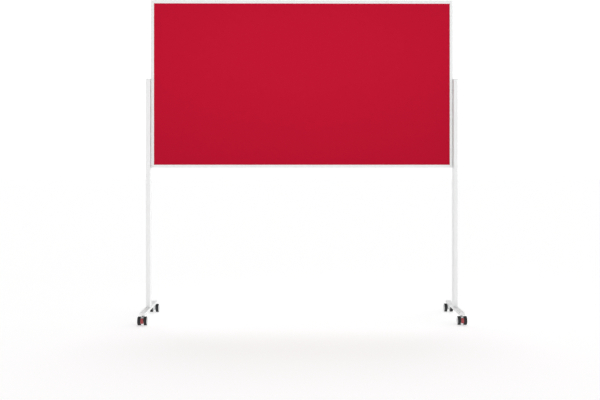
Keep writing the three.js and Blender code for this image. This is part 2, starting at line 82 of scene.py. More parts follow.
class Shader:
    """A Principled material and short calls that add and link its nodes."""

    def __init__(self, name, color, roughness, metallic=0.0):
        self.material = bpy.data.materials.new(name)
        self.material.use_nodes = True
        self.tree = self.material.node_tree
        self.surface = self.tree.nodes["Principled BSDF"]
        self.set("Base Color", (*color, 1.0))
        self.set("Roughness", roughness)
        self.set("Metallic", metallic)
        self.coordinates = self.tree.nodes.new("ShaderNodeTexCoord").outputs["Object"]

    def set(self, socket, value):
        self.surface.inputs[socket].default_value = value

    def link(self, output, node_input):
        self.tree.links.new(output, node_input)

    def stretched(self, scale):
        """Object coordinates scaled by (x, y, z)."""
        mapping = self.tree.nodes.new("ShaderNodeMapping")
        mapping.inputs["Scale"].default_value = scale
        self.link(self.coordinates, mapping.inputs["Vector"])
        return mapping.outputs["Vector"]

    def noise(self, scale, detail, roughness=0.5, distortion=0.0, vector=None):
        node = self.tree.nodes.new("ShaderNodeTexNoise")
        node.inputs["Scale"].default_value = scale
        node.inputs["Detail"].default_value = detail
        node.inputs["Roughness"].default_value = roughness
        node.inputs["Distortion"].default_value = distortion
        self.link(vector or self.coordinates, node.inputs["Vector"])
        return node.outputs["Fac"]

    def cells(self, scale):
        node = self.tree.nodes.new("ShaderNodeTexVoronoi")
        node.inputs["Scale"].default_value = scale
        self.link(self.coordinates, node.inputs["Vector"])
        return node.outputs["Distance"]

    def remap(self, value, low, high, to_low, to_high):
        node = self.tree.nodes.new("ShaderNodeMapRange")
        node.inputs["From Min"].default_value = low
        node.inputs["From Max"].default_value = high
        node.inputs["To Min"].default_value = to_low
        node.inputs["To Max"].default_value = to_high
        self.link(value, node.inputs["Value"])
        return node.outputs["Result"]

    def math(self, operation, first, second):
        return add_math(self.tree, operation, first, second)

    def mix(self, factor, first, second):
        """Colour between two colours, each a tuple or a socket."""
        node = self.tree.nodes.new("ShaderNodeMix")
        node.data_type = "RGBA"
        self.link(factor, node.inputs["Factor"])
        for name, value in (("A", first), ("B", second)):
            socket = next(s for s in node.inputs if s.name == name and s.type == "RGBA")
            if isinstance(value, tuple):
                socket.default_value = (*value, 1.0)
            else:
                self.link(value, socket)
        return next(s for s in node.outputs if s.type == "RGBA")

    def color(self, output):
        self.link(output, self.surface.inputs["Base Color"])

    def roughness(self, output):
        self.link(output, self.surface.inputs["Roughness"])

    def bump(self, height, strength, distance):
        node = self.tree.nodes.new("ShaderNodeBump")
        node.inputs["Strength"].default_value = strength
        node.inputs["Distance"].default_value = distance
        self.link(height, node.inputs["Height"])
        previous = self.surface.inputs["Normal"]
        if previous.is_linked:
            self.link(previous.links[0].from_socket, node.inputs["Normal"])
        self.link(node.outputs["Normal"], previous)


def tinted(color, factor):
    return tuple(min(1.0, channel * factor) for channel in color)


def powder_coat(name, color):
    """Satin powder coat: fine orange peel, faint clouding, and scuffs worn slightly duller."""
    shader = Shader(name, color, 0.42)
    shader.set("Specular IOR Level", 0.45)
    clouds = shader.noise(9, 4, 0.55)
    cloudy = shader.remap(clouds, 0.3, 0.7, 0, 1)
    shader.color(shader.mix(cloudy, tinted(color, 0.985), tinted(color, 1.01)))
    scuffs = shader.noise(60, 6, 0.7, 1.5)
    shader.roughness(shader.remap(scuffs, 0.35, 0.75, 0.38, 0.50))
    shader.bump(shader.noise(900, 2, 0.5), 0.10, 0.06 * MM)
    shader.bump(shader.noise(260, 1, 0.4), 0.06, 0.12 * MM)
    return shader.material


def coated_profile(name, color, along):
    """Coated aluminium profile: faint draw lines run along it under the lacquer."""
    shader = Shader(name, color, 0.36)
    lines_scale = tuple(4 if axis == along else 700 for axis in "XYZ")
    lines = shader.noise(1, 2, 0.5, vector=shader.stretched(lines_scale))
    clouds = shader.noise(7, 3, 0.5)
    shader.color(shader.mix(clouds, tinted(color, 0.985), tinted(color, 1.01)))
    shader.roughness(shader.remap(lines, 0.3, 0.7, 0.32, 0.44))
    shader.bump(lines, 0.08, 0.03 * MM)
    shader.bump(shader.noise(800, 2), 0.07, 0.04 * MM)
    return shader.material


def felt(name, color):
    """Needled felt: short tangled fibres, small soft clumps and a dull sheen."""
    shader = Shader(name, color, 0.95)
    shader.set("Specular IOR Level", 0.08)
    shader.set("Sheen Weight", 0.07)
    shader.set("Sheen Roughness", 0.55)
    shader.set("Sheen Tint", (1.0, 0.35, 0.40, 1.0))
    level = shader.noise(2600, 4, 0.65, 0.6)
    across = shader.noise(1, 3, 0.6, 2.5, shader.stretched((260, 300, 1300)))
    upright = shader.noise(1, 3, 0.6, 2.5, shader.stretched((1300, 300, 260)))
    clumps = shader.noise(160, 3, 0.6, 0.8)
    fibres = shader.math("MAXIMUM", across, upright)
    lit = shader.mix(shader.remap(fibres, 0.42, 0.74, 0, 1), tinted(color, 0.78), tinted(color, 1.27))
    soft = shader.mix(shader.remap(clumps, 0.25, 0.75, 0, 0.35), lit, tinted(color, 0.90))
    shader.color(soft)
    shader.roughness(shader.remap(level, 0.3, 0.7, 0.88, 1.0))
    shader.bump(fibres, 0.55, 0.45 * MM)
    shader.bump(level, 0.30, 0.20 * MM)
    shader.bump(clumps, 0.12, 0.5 * MM)
    return shader.material


def enamel(name, color):
    """Glossy writing enamel with a trace of orange peel and dry-wiped haze."""
    shader = Shader(name, color, 0.12)
    shader.set("Specular IOR Level", 0.55)
    shader.set("Coat Weight", 0.35)
    shader.set("Coat Roughness", 0.06)
    wiped = shader.noise(1, 4, 0.6, 1.2, shader.stretched((2.2, 2, 7)))
    shader.color(shader.mix(shader.remap(wiped, 0.35, 0.75, 0, 1), color, tinted(color, 0.985)))
    shader.roughness(shader.remap(wiped, 0.3, 0.75, 0.09, 0.20))
    shader.bump(shader.noise(140, 1, 0.4), 0.04, 0.10 * MM)
    return shader.material


def moulded_plastic(name, color, roughness):
    """Moulded plastic: fine spark texture, slight flow clouding and handling polish."""
    shader = Shader(name, color, roughness)
    flow = shader.remap(shader.noise(160, 3, 0.5, 1.0), 0.3, 0.7, 0, 1)
    shader.color(shader.mix(flow, tinted(color, 0.975), tinted(color, 1.015)))
    polish = shader.noise(240, 4, 0.6)
    shader.roughness(shader.remap(polish, 0.3, 0.7, roughness - 0.06, roughness + 0.09))
    shader.bump(shader.noise(2600, 2, 0.6), 0.12, 0.06 * MM)
    return shader.material


def tread_rubber(name, color):
    """Dark polyurethane tread: matt, finely pitted, with floor dust worn into it."""
    shader = Shader(name, color, 0.72)
    shader.set("Specular IOR Level", 0.35)
    dust = shader.noise(700, 5, 0.7, 0.8)
    dusty = tuple(channel * 0.8 + 0.014 for channel in color)
    shader.color(shader.mix(shader.remap(dust, 0.45, 0.75, 0, 1), color, dusty))
    shader.roughness(shader.remap(dust, 0.3, 0.7, 0.62, 0.84))
    shader.bump(shader.noise(1800, 3, 0.6), 0.25, 0.10 * MM)
    shader.bump(shader.cells(900), 0.10, 0.08 * MM)
    return shader.material


def zinc_steel(name, color):
    """Bright zinc plate with faint turning marks and cloudy passivation."""
    shader = Shader(name, color, 0.34, 1.0)
    clouds = shader.noise(180, 4, 0.6, 1.0)
    cloudy = shader.remap(clouds, 0.3, 0.7, 0, 1)
    shader.color(shader.mix(cloudy, tinted(color, 0.86), tinted(color, 1.08)))
    shader.roughness(shader.remap(clouds, 0.3, 0.7, 0.26, 0.44))
    turning = shader.noise(1, 2, 0.5, vector=shader.stretched((300, 300, 3600)))
    shader.bump(turning, 0.12, 0.03 * MM)
    return shader.material


def fibreboard(name, color):
    """Soft fibreboard: coarse pressed fibres in two tones."""
    shader = Shader(name, color, 0.9)
    fibres = shader.noise(1, 5, 0.65, 2.0, shader.stretched((500, 1800, 500)))
    pressed = shader.remap(fibres, 0.35, 0.65, 0, 1)
    shader.color(shader.mix(pressed, tinted(color, 0.72), tinted(color, 1.2)))
    shader.bump(fibres, 0.5, 0.4 * MM)
    return shader.material


WHITE_PAINT = (0.835, 0.84, 0.84)
MATERIALS = {
    "frame_across": coated_profile("frame_across", (0.83, 0.835, 0.835), "X"),
    "frame_upright": coated_profile("frame_upright", (0.83, 0.835, 0.835), "Z"),
    "stand_white": powder_coat("stand_white", WHITE_PAINT),
    "cap_white": moulded_plastic("cap_white", (0.80, 0.805, 0.805), 0.45),
    "felt_red": felt("felt_red", (0.417, 0.0036, 0.0224)),
    "core_board": fibreboard("core_board", (0.46, 0.32, 0.17)),
    "sheet_white": enamel("sheet_white", (0.80, 0.805, 0.80)),
    "key_grey": moulded_plastic("key_grey", (0.27, 0.28, 0.29), 0.6),
    "steel": zinc_steel("steel", (0.56, 0.57, 0.58)),
    "bush_grey": moulded_plastic("bush_grey", (0.70, 0.70, 0.71), 0.5),
    "castor_grey": moulded_plastic("castor_grey", (0.63, 0.64, 0.645), 0.42),
    "tyre_black": tread_rubber("tyre_black", (0.022, 0.023, 0.025)),
    "brake_red": moulded_plastic("brake_red", (0.40, 0.066, 0.072), 0.34),
}


# ------------------------------------------------------------------ mesh helpers

ALONG_Z = Matrix.Identity(4)
ALONG_X = Matrix(((0, 0, 1, 0), (1, 0, 0, 0), (0, 1, 0, 0), (0, 0, 0, 1)))  # (u, v, w) to (w, u, v)


def filleted(corners, steps=5):
    """Closed outline through (x, y, radius) corners, each rounded to its radius."""
    outline = []
    count = len(corners)
    for index, (x, y, radius) in enumerate(corners):
        here = Vector((x, y))
        before = Vector(corners[index - 1][:2]) - here
        after = Vector(corners[(index + 1) % count][:2]) - here
        if radius <= 0:
            outline.append(here)
            continue
        longest = 0.49 * min(before.length, after.length)
        half = before.angle(after) / 2
        reach = min(radius / math.tan(half), longest)
        radius = reach * math.tan(half)
        start = here + before.normalized() * reach
        end = here + after.normalized() * reach
        inward = (before.normalized() + after.normalized()).normalized()
        centre = here + inward * radius / math.sin(half)
        first = start - centre
        turn = first.angle_signed(end - centre)
        for step in range(steps + 1):
            outline.append(centre + first @ Matrix.Rotation(turn * step / steps, 2))
    return [tuple(point) for point in outline]


def rectangle(width, depth, radius=0):
    """Outline centred on the origin, with its corners rounded."""
    x, y = width / 2, depth / 2
    return filleted([(-x, -y, radius), (x, -y, radius), (x, y, radius), (-x, y, radius)], 6)


def arc(radius, start, end, steps):
    """Points on a circle round the origin, angles in degrees."""
    angles = [math.radians(start + (end - start) * step / steps) for step in range(steps + 1)]
    return [(radius * math.cos(angle), radius * math.sin(angle)) for angle in angles]


def circle(radius, steps=48):
    return arc(radius, 0, 360, steps)[:-1]


def mesh_object(name, points, faces):
    mesh = bpy.data.meshes.new(name)
    mesh.from_pydata([tuple(point) for point in points], [], faces)
    made = bpy.data.objects.new(name, mesh)
    bpy.context.scene.collection.objects.link(made)
    tidy_mesh(made)
    return made


def tidy_mesh(piece, sharp_degrees=40):
    """Faces out, smooth shading, and sharp edges only where the surface really turns."""
    work = bmesh.new()
    work.from_mesh(piece.data)
    bmesh.ops.remove_doubles(work, verts=work.verts, dist=1e-7)
    bmesh.ops.recalc_face_normals(work, faces=work.faces)
    work.to_mesh(piece.data)
    work.free()
    piece.data.shade_smooth()
    piece.data.set_sharp_from_angle(angle=math.radians(sharp_degrees))


def prism(name, loops, low, high, axes=ALONG_Z):
    """Outline loops, the outer one first and then its holes, extruded from low to high."""
    points, faces = [], []
    for loop in loops:
        start = len(points)
        count = len(loop)
        points += [Vector((x, y, low)) for x, y in loop] + [Vector((x, y, high)) for x, y in loop]
        for i in range(count):
            after = (i + 1) % count
            faces.append((start + i, start + after, start + count + after, start + count + i))
    flat = [[Vector((x, y, 0)) for x, y in loop] for loop in loops]
    lower = []
    start = 0
    for loop in loops:
        lower += range(start, start + len(loop))
        start += 2 * len(loop)
    sizes = [len(loop) for loop in loops for _ in loop]
    for triangle in geometry.tessellate_polygon(flat):
        faces.append(tuple(lower[i] for i in triangle))
        faces.append(tuple(lower[i] + sizes[i] for i in triangle))
    return mesh_object(name, [axes @ point for point in points], faces)


def lathe(name, profile, steps, axes=ALONG_Z):
    """Closed (radius, height) outline turned about the local Z axis."""
    points, faces, rings = [], [], []
    for radius, height in profile:
        turns = 1 if radius < 1e-7 else steps
        rings.append([len(points) + step for step in range(turns)])
        for step in range(turns):
            angle = 2 * math.pi * step / steps
            points.append(Vector((radius * math.cos(angle), radius * math.sin(angle), height)))
    for index, ring in enumerate(rings):
        following = rings[(index + 1) % len(rings)]
        if len(ring) == 1 and len(following) == 1:
            continue
        for step in range(steps):
            after = (step + 1) % steps
            corners = [
                ring[step % len(ring)], ring[after % len(ring)],
                following[after % len(following)], following[step % len(following)],
            ]
            faces.append(tuple(dict.fromkeys(corners)))
    return mesh_object(name, [axes @ point for point in points], faces)


def apply_modifiers(piece, sharp_degrees=40):
    evaluated = piece.evaluated_get(bpy.context.evaluated_depsgraph_get())
    mesh = bpy.data.meshes.new_from_object(evaluated)
    piece.modifiers.clear()
    piece.data = mesh
    tidy_mesh(piece, sharp_degrees)
    return piece


def combine(piece, *tools, operation="DIFFERENCE"):
    for tool in tools:
        modifier = piece.modifiers.new("combine", "BOOLEAN")
        modifier.operation = operation
        modifier.solver = "EXACT"
        modifier.object = tool
        apply_modifiers(piece)
        bpy.data.objects.remove(tool)
    return piece


def bevelled(piece, width, segments):
    """Rounds the edges that turn by more than 60 degrees."""
    modifier = piece.modifiers.new("bevel", "BEVEL")
    modifier.width = width
    modifier.segments = segments
    modifier.limit_method = "ANGLE"
    modifier.angle_limit = math.radians(60)
    return apply_modifiers(piece)


def moulded(piece, voxel, relax):
    """Turns joined blocks into one moulded form with soft fillets."""
    remesh = piece.modifiers.new("remesh", "REMESH")
    remesh.mode = "VOXEL"
    remesh.voxel_size = voxel
    smooth = piece.modifiers.new("smooth", "SMOOTH")
    smooth.factor = 0.5
    smooth.iterations = relax
    return apply_modifiers(piece, 80)


def moved(piece, matrix):
    piece.data.transform(matrix)
    piece.data.update()
    return piece


def finish_piece(piece, material, body, slot, *nodes):
    """Gives a new piece its material and its body, and hides the frame nodes that it stands for."""
    piece.data.materials.clear()
    piece.data.materials.append(MATERIALS[material])
    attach(piece, body)
    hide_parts(*nodes)


# ------------------------------------------------------------------ board

def rail_section():
    """Rail outline and its key channel: x inwards from the outer edge, y across the board."""
    low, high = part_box("frame_left")
    half = (high.y - low.y) / 2
    face = high.x - low.x
    felt_low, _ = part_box("felt_panel")
    web = felt_low.x - low.x - GAP
    slot = -felt_low.y + GAP
    wall = 1.8 * MM
    soft, edge, inner = 2.0 * MM, 0.7 * MM, 0.3 * MM
    outline = filleted([
        (0, -half, soft), (face, -half, edge), (face, -slot, edge), (web, -slot, inner),
        (web, slot, inner), (face, slot, edge), (face, half, edge), (0, half, soft),
    ])
    channel_half = half - wall
    channel = filleted([
        (wall, -channel_half, inner), (web - wall, -channel_half, inner),
        (web - wall, channel_half, inner), (wall, channel_half, inner),
    ], 2)
    return [outline, channel]


def make_rails():
    """Four coated rails whose mitred ends meet on the corner diagonals."""
    low_x, high_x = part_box("frame_left")[0].x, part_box("frame_right")[1].x
    low_z, high_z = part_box("frame_bottom")[0].z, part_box("frame_top")[1].z
    middle_x, middle_z = (low_x + high_x) / 2, (low_z + high_z) / 2
    half_x, half_z = (high_x - low_x) / 2, (high_z - low_z) / 2
    section = rail_section()
    # Where a section point (v, y) lies at a rail's near end (-1) and at its far end (1).
    spots = {
        "frame_left": lambda v, y, end: (low_x + v, y, middle_z + end * (half_z - v - GAP / 2)),
        "frame_right": lambda v, y, end: (high_x - v, y, middle_z + end * (half_z - v - GAP / 2)),
        "frame_bottom": lambda v, y, end: (middle_x + end * (half_x - v - GAP / 2), y, low_z + v),
        "frame_top": lambda v, y, end: (middle_x + end * (half_x - v - GAP / 2), y, high_z - v),
    }
    for node, spot in spots.items():
        piece = prism(node + "_rail", section, -1, 1)
        for vertex in piece.data.vertices:
            v, y, end = vertex.co
            vertex.co = spot(v, y, end)
        tidy_mesh(piece)
        upright = node in ("frame_left", "frame_right")
        if upright:
            pivot = Vector(JOINTS["board_tilt"]["pos_m"])
            face = low_x if node == "frame_left" else high_x
            reach = 8.2 * MM  # through the outer wall, short of the web
            drill = prism("drill", [circle(SHANK_HOLE, 24)], -reach, reach, ALONG_X)
            combine(piece, moved(drill, Matrix.Translation((face, pivot.y, pivot.z))))
        material = "frame_upright" if upright else "frame_across"
        finish_piece(piece, material, "board", "frame_white", node)


def rippled_layer(name, node, cell, ripple, wavelength, outward):
    """A thin panel on a fine grid, with its outer face gently uneven."""
    low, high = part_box(node)
    columns = max(2, round((high.x - low.x) / cell))
    rows = max(2, round((high.z - low.z) / cell))
    outer, inner = (low.y, high.y) if outward < 0 else (high.y, low.y)
    points, faces = [], []
    for j in range(rows + 1):
        for i in range(columns + 1):
            x = low.x + (high.x - low.x) * i / columns
            z = low.z + (high.z - low.z) * j / rows
            wave = noise.noise(Vector((x, 0, z)) / wavelength)
            points.append((x, outer - outward * ripple * (0.5 + 0.5 * wave), z))
    front = len(points)
    points += [(x, inner, z) for x, _, z in points]
    row = columns + 1
    for j in range(rows):
        for i in range(columns):
            a = j * row + i
            faces.append((a, a + 1, a + row + 1, a + row))
            faces.append((front + a, front + a + row, front + a + row + 1, front + a + 1))
    border = list(range(columns))
    border += [j * row + columns for j in range(rows)]
    border += [rows * row + columns - i for i in range(columns)]
    border += [(rows - j) * row for j in range(rows)]
    for k, a in enumerate(border):
        b = border[(k + 1) % len(border)]
        faces.append((b, a, front + a, front + b))
    return mesh_object(name, points, faces)


def make_faces():
    """The felt facing, which is returned, and the writing sheet behind it."""
    facing = rippled_layer("felt_facing", "felt_panel", cell=12 * MM, ripple=0.12 * MM,
                           wavelength=90 * MM, outward=-1)
    finish_piece(facing, "felt_red", "board", "felt_red", "felt_panel")
    writing = rippled_layer("writing_sheet", "whiteboard_sheet", cell=25 * MM, ripple=0.06 * MM,
                            wavelength=260 * MM, outward=1)
    finish_piece(writing, "sheet_white", "board", "sheet_white", "whiteboard_sheet")
    return facing


# ------------------------------------------------------------------ stand

def make_uprights():
    pivot_z = JOINTS["board_tilt"]["pos_m"][2]
    for side in SIDES:
        low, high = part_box(f"upright_{side}")
        size = high - low
        middle = (low + high) / 2
        outer = rectangle(size.x, size.y, TUBE_CORNER)
        bore = (size.x - 2 * TUBE_WALL, size.y - 2 * TUBE_WALL)
        inner = rectangle(*bore, TUBE_CORNER - TUBE_WALL)
        tube = prism(f"upright_tube_{side}", [outer, inner], low.z, high.z)
        moved(tube, Matrix.Translation((middle.x, middle.y, 0)))
        outward = -1 if side == "left" else 1
        for radius, way in ((BUSH_BARREL + GAP, -outward), (ACCESS_HOLE, outward)):
            start = 5 * MM  # inside the bore, so that only one wall is drilled
            drill = prism("drill", [circle(radius)], start, size.x, ALONG_X)
            turn = Matrix.Rotation(0 if way > 0 else math.pi, 4, "Z")
            moved(drill, Matrix.Translation((middle.x, middle.y, pivot_z)) @ turn)
            combine(tube, drill)
        finish_piece(tube, "stand_white", "stand", "stand_white", f"upright_{side}")

        low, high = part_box(f"upright_cap_{side}")
        plate = 3 * MM
        crown = prism(f"upright_end_cap_{side}", [outer], high.z - plate, high.z)
        bevelled(crown, width=0.9 * MM, segments=4)
        filling = rectangle(bore[0] - 2 * GAP, bore[1] - 2 * GAP, 1.2 * MM)
        plug = prism("plug", [filling], low.z, high.z - plate / 2)
        combine(crown, plug, operation="UNION")
        moved(crown, Matrix.Translation((middle.x, middle.y, 0)))
        finish_piece(crown, "cap_white", "stand", "cap_white", f"upright_cap_{side}")


def socket_screw(name, head, head_height, shank, length, key):
    """Screw standing head down on z = 0, with a hexagon socket in the head."""
    chamfer, socket_depth = 0.5 * MM, head_height * 0.6
    profile = filleted([
        (0, 0, 0), (head, 0, chamfer), (head, head_height, FINE), (shank, head_height, EDGE),
        (shank, length, 0.6 * MM), (0, length, 0),
    ], 3)
    screw = lathe(name, profile, 48)
    hexagon = prism("hexagon", [circle(key, 6)], -1 * MM, socket_depth)
    return combine(screw, hexagon)


def make_feet():
    for side in SIDES:
        low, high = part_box(f"foot_bar_{side}")
        size = high - low
        middle = (low + high) / 2
        bar = prism(f"foot_rail_{side}", [rectangle(size.x, size.y, TUBE_CORNER)], low.z, high.z)
        bevelled(bar, width=0.8 * MM, segments=3)
        moved(bar, Matrix.Translation((middle.x, middle.y, 0)))
        recess, cover = 5.8 * MM, 2 * MM  # the screw's head hole, and the top left over a stem
        drills = [(middle.y, SHANK_HOLE, high.z + 1 * MM), (middle.y, SCREW_HEAD + GAP, low.z + recess)]
        for end in ("front", "rear"):
            drills.append((JOINTS[f"swivel_{end}_{side}"]["pos_m"][1], SHANK_HOLE, high.z - cover))
        for y, radius, top in drills:
            drill = prism("drill", [circle(radius)], low.z - 1 * MM, top)
            combine(bar, moved(drill, Matrix.Translation((middle.x, y, 0))))
        finish_piece(bar, "stand_white", "stand", "stand_white", f"foot_bar_{side}")

        low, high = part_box(f"foot_screw_{side}")
        screw = socket_screw(f"foot_bolt_{side}", SCREW_HEAD, 5 * MM, SHANK, high.z - low.z, 3 * MM)
        moved(screw, Matrix.Translation((middle.x, middle.y, low.z)))
        finish_piece(screw, "steel", "stand", "steel", f"foot_screw_{side}")


def make_pivots():
    pivot = Vector(JOINTS["board_tilt"]["pos_m"])
    for side in SIDES:
        outward = -1 if side == "left" else 1
        turn = Matrix.Rotation(0 if outward > 0 else math.pi, 4, "Z")
        place = Matrix.Translation((0, pivot.y, pivot.z)) @ turn

        def reach(node):
            low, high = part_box(f"{node}_{side}")
            return (min(abs(low.x), abs(high.x)), max(abs(low.x), abs(high.x)), (high.z - low.z) / 2)

        inner, outer, flange = reach("pivot_bush")
        step = reach("upright")[0] - GAP
        bush = lathe(f"flanged_bush_{side}", filleted([
            (SHANK_HOLE, inner, EDGE), (flange, inner, 0.5 * MM), (flange, step, EDGE),
            (BUSH_BARREL, step, CRISP), (BUSH_BARREL, outer, 0.5 * MM), (SHANK_HOLE, outer, EDGE),
        ], 3), 64, ALONG_X)
        finish_piece(moved(bush, place), "bush_grey", "stand", "bush_grey", f"pivot_bush_{side}")

        inner, outer, flange = reach("pivot_cover")
        rim, shell, dish = 0.5 * MM, 1.2 * MM, 1 * MM
        wall = outer - shell
        barrel = ACCESS_HOLE - GAP
        crown = [(flange * math.cos(t), wall + rim + (shell - rim) * math.sin(t))
                 for t in (math.radians(a) for a in range(0, 91, 10))]
        profile = [(0, inner + dish), (barrel - shell, inner + dish), (barrel - shell, inner),
                   (barrel, inner), (barrel, wall), (flange, wall)]
        profile += crown[:-1] + [(0, crown[-1][1])]
        cover = lathe(f"access_plug_{side}", profile, 64, ALONG_X)
        finish_piece(moved(cover, place), "cap_white", "stand", "cap_white", f"pivot_cover_{side}")

        inner, outer, head = reach("pivot_bolt")
        bolt = socket_screw(f"shoulder_bolt_{side}", head, 6 * MM, SHANK, outer - inner, 3.5 * MM)
        flip = Matrix.Translation((outer, 0, 0)) @ Matrix.Rotation(-math.pi / 2, 4, "Y")
        finish_piece(moved(bolt, place @ flip), "steel", "board", "steel", f"pivot_bolt_{side}")


# ------------------------------------------------------------------ castors

# A castor is made with its swivel axis on Z and its wheels trailing towards -Y.
TRAIL = JOINTS["swivel_front_left"]["pos_m"][1] - JOINTS["roll_front_left_a"]["pos_m"][1]
AXLE_HEIGHT = JOINTS["roll_front_left_a"]["pos_m"][2]
AXLE_SPOT = Matrix.Translation((0, -TRAIL, AXLE_HEIGHT))
AXLE_RADIUS = 3 * MM
RIB = 9 * MM  # width of a braked housing between the pedal's ears
TYRE_BORE = 19 * MM

# Angles round the axle are in degrees: 90 is straight up and 180 is straight away from the stem.
HOOD_THICKNESS = 5 * MM
HOOD_START, HOOD_END, HOOD_FOOT = 90, 128, 112
WEB_START, WEB_END = 150, 270
RELIEF_HEIGHT = 9.5 * MM  # above the axle, beside the rib
RELIEF_LENGTH = 38 * MM
RELIEF_SHIFT = 9 * MM  # of its middle beyond the axle
ROUND_START = 12 * MM  # above the axle, where the stem's side turns round
SOCKET_FLOOR = 33 * MM  # of the hole for the stem, above the ground

PEDAL_RADIUS = 23.9 * MM
PEDAL_PLATE = 3.4 * MM
PEDAL_HIGH, PEDAL_LOW = 138, 216
PEDAL_BOSS = 7.5 * MM  # radius of the ears round the axle
PAD_RIM = 2.2 * MM
PAD_DEPTH = 1.1 * MM
PAD_INSET = 7  # degrees, from each end of the plate
PAD_RIBS = 6


def tyre_piece(name, inner, outer, radius, bore):
    """Tread band with round shoulders, a shallow centre groove and moulding lips."""
    middle = (inner + outer) / 2
    shoulder, rounding, lip = 2 * MM, 1.4 * MM, 0.3 * MM
    groove, groove_top, groove_floor = 0.35 * MM, 0.9 * MM, 0.5 * MM  # depth and half widths
    profile = filleted([
        (bore, inner, FINE), (radius - shoulder, inner, FINE),
        (radius - shoulder, inner + lip, CRISP), (radius, inner + lip, rounding),
        (radius, middle - groove_top, EDGE), (radius - groove, middle - groove_floor, FINE),
        (radius - groove, middle + groove_floor, FINE), (radius, middle + groove_top, EDGE),
        (radius, outer - lip, rounding), (radius - shoulder, outer - lip, CRISP),
        (radius - shoulder, outer, FINE), (bore, outer, FINE),
    ], 5)
    return lathe(name, profile, 96, ALONG_X)


def hub_piece(name, inner, outer, radius, barrel, bore_end):
    """Wheel hub with a domed cover: rim lip, ring groove and raised centre cap."""
    bore = AXLE_RADIUS + GAP
    seat = outer - 2.5 * MM
    profile = filleted([
        # bore, and the collar, dish and rim of the inner face
        (0, bore_end, 0), (bore, bore_end, 0), (bore, inner, 0.4 * MM),
        (bore + 2.5 * MM, inner, EDGE), (bore + 3.2 * MM, inner + 1 * MM, EDGE),
        (barrel - 2.2 * MM, inner + 1 * MM, 0.4 * MM), (barrel - 1.6 * MM, inner, EDGE),
        # barrel inside the tyre, cover lip and dome
        (barrel, inner, EDGE), (barrel, seat, CRISP), (radius, seat, FINE),
        (radius, seat + 0.8 * MM, 0.5 * MM), (radius - 2.2 * MM, outer - 1.1 * MM, 1.2 * MM),
        # ring groove and raised centre cap
        (radius * 0.72, outer - 0.75 * MM, EDGE), (radius * 0.70, outer - 1.25 * MM, FINE),
        (radius * 0.66, outer - 1.25 * MM, FINE), (radius * 0.64, outer - 0.6 * MM, EDGE),
        (radius * 0.30, outer - 0.35 * MM, EDGE), (radius * 0.28, outer, EDGE),
        (0, outer, 0),
    ], 4)
    return lathe(name, profile, 96, ALONG_X)


def stem_piece(name, low, high, collar, collar_low, collar_high):
    """Threaded stem with a chamfered collar and a grip ring groove near its foot."""
    pin, thread = SHANK, 3.8 * MM
    groove = low + 4 * MM
    floor = pin - 0.6 * MM
    corners = [
        (0, low, 0), (pin, low, 0.6 * MM), (pin, groove, CRISP),
        (floor, groove + 0.3 * MM, 0), (floor, groove + 1.5 * MM, 0),
        (pin, groove + 1.8 * MM, CRISP), (pin, collar_low, FINE),
        (collar, collar_low, 0.6 * MM), (collar, collar_high, 0.8 * MM),
        (thread, collar_high, CRISP),
    ]
    pitch = 1.25 * MM
    turns = int((high - collar_high - 1 * MM) / pitch)
    for turn in range(turns):
        root = collar_high + 0.6 * MM + turn * pitch
        corners += [(thread - 0.5 * MM, root, 0), (thread, root + pitch / 2, 0)]
    corners += [(thread - 0.8 * MM, high, FINE), (0, high, 0)]
    return lathe(name, filleted(corners, 3), 48)


def housing_piece(name, braked):
    """Moulded castor body: a hood between the wheels, a web round the axle and the stem socket."""
    low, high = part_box("castor_housing_front_left")
    width = high.x - low.x
    half = width / 2
    round_axle = AXLE_HEIGHT - low.z
    hood = high.z - AXLE_HEIGHT

    def about_axle(radius, start, end, steps):
        return [(y - TRAIL, z + AXLE_HEIGHT) for y, z in arc(radius, start, end, steps)]

    outline = about_axle(hood, HOOD_START, HOOD_END, 16)
    outline += about_axle(hood - HOOD_THICKNESS, HOOD_END, HOOD_FOOT, 6)
    outline += about_axle(round_axle, WEB_START, WEB_END, 24)
    outline += [(-TRAIL + 8 * MM, low.z), (-4 * MM, low.z + 2.5 * MM), (4 * MM, low.z + 9 * MM)]
    outline += [(half, low.z + 20 * MM), (half, high.z)]
    body = prism(name, [outline], -half, half, ALONG_X)
    if braked:
        for side in (-1, 1):
            block = rectangle(2 * width, RELIEF_LENGTH)
            relief = prism("relief", [block], 0, AXLE_HEIGHT + RELIEF_HEIGHT)
            offset = Matrix.Translation((side * (RIB / 2 + width), -TRAIL - RELIEF_SHIFT, 0))
            combine(body, moved(relief, offset))
    around = [rectangle(3 * width, 3 * width), circle(half, 64)]
    corner_cut = prism("corner_cut", around, AXLE_HEIGHT + ROUND_START, high.z + 1 * MM)
    spared = prism("spared", [rectangle(4 * width, 3 * width)], 0, 2 * high.z)
    moved(spared, Matrix.Translation((0, -1.5 * width - 2 * MM, 0)))
    combine(corner_cut, spared)
    combine(body, corner_cut)
    bore = prism("bore", [circle(AXLE_RADIUS + GAP)], -width, width, ALONG_X)
    combine(body, moved(bore, AXLE_SPOT))
    socket = prism("socket", [circle(SHANK_HOLE)], SOCKET_FLOOR, high.z + 1 * MM)
    combine(body, socket)
    return moulded(body, voxel=0.4 * MM, relax=4)


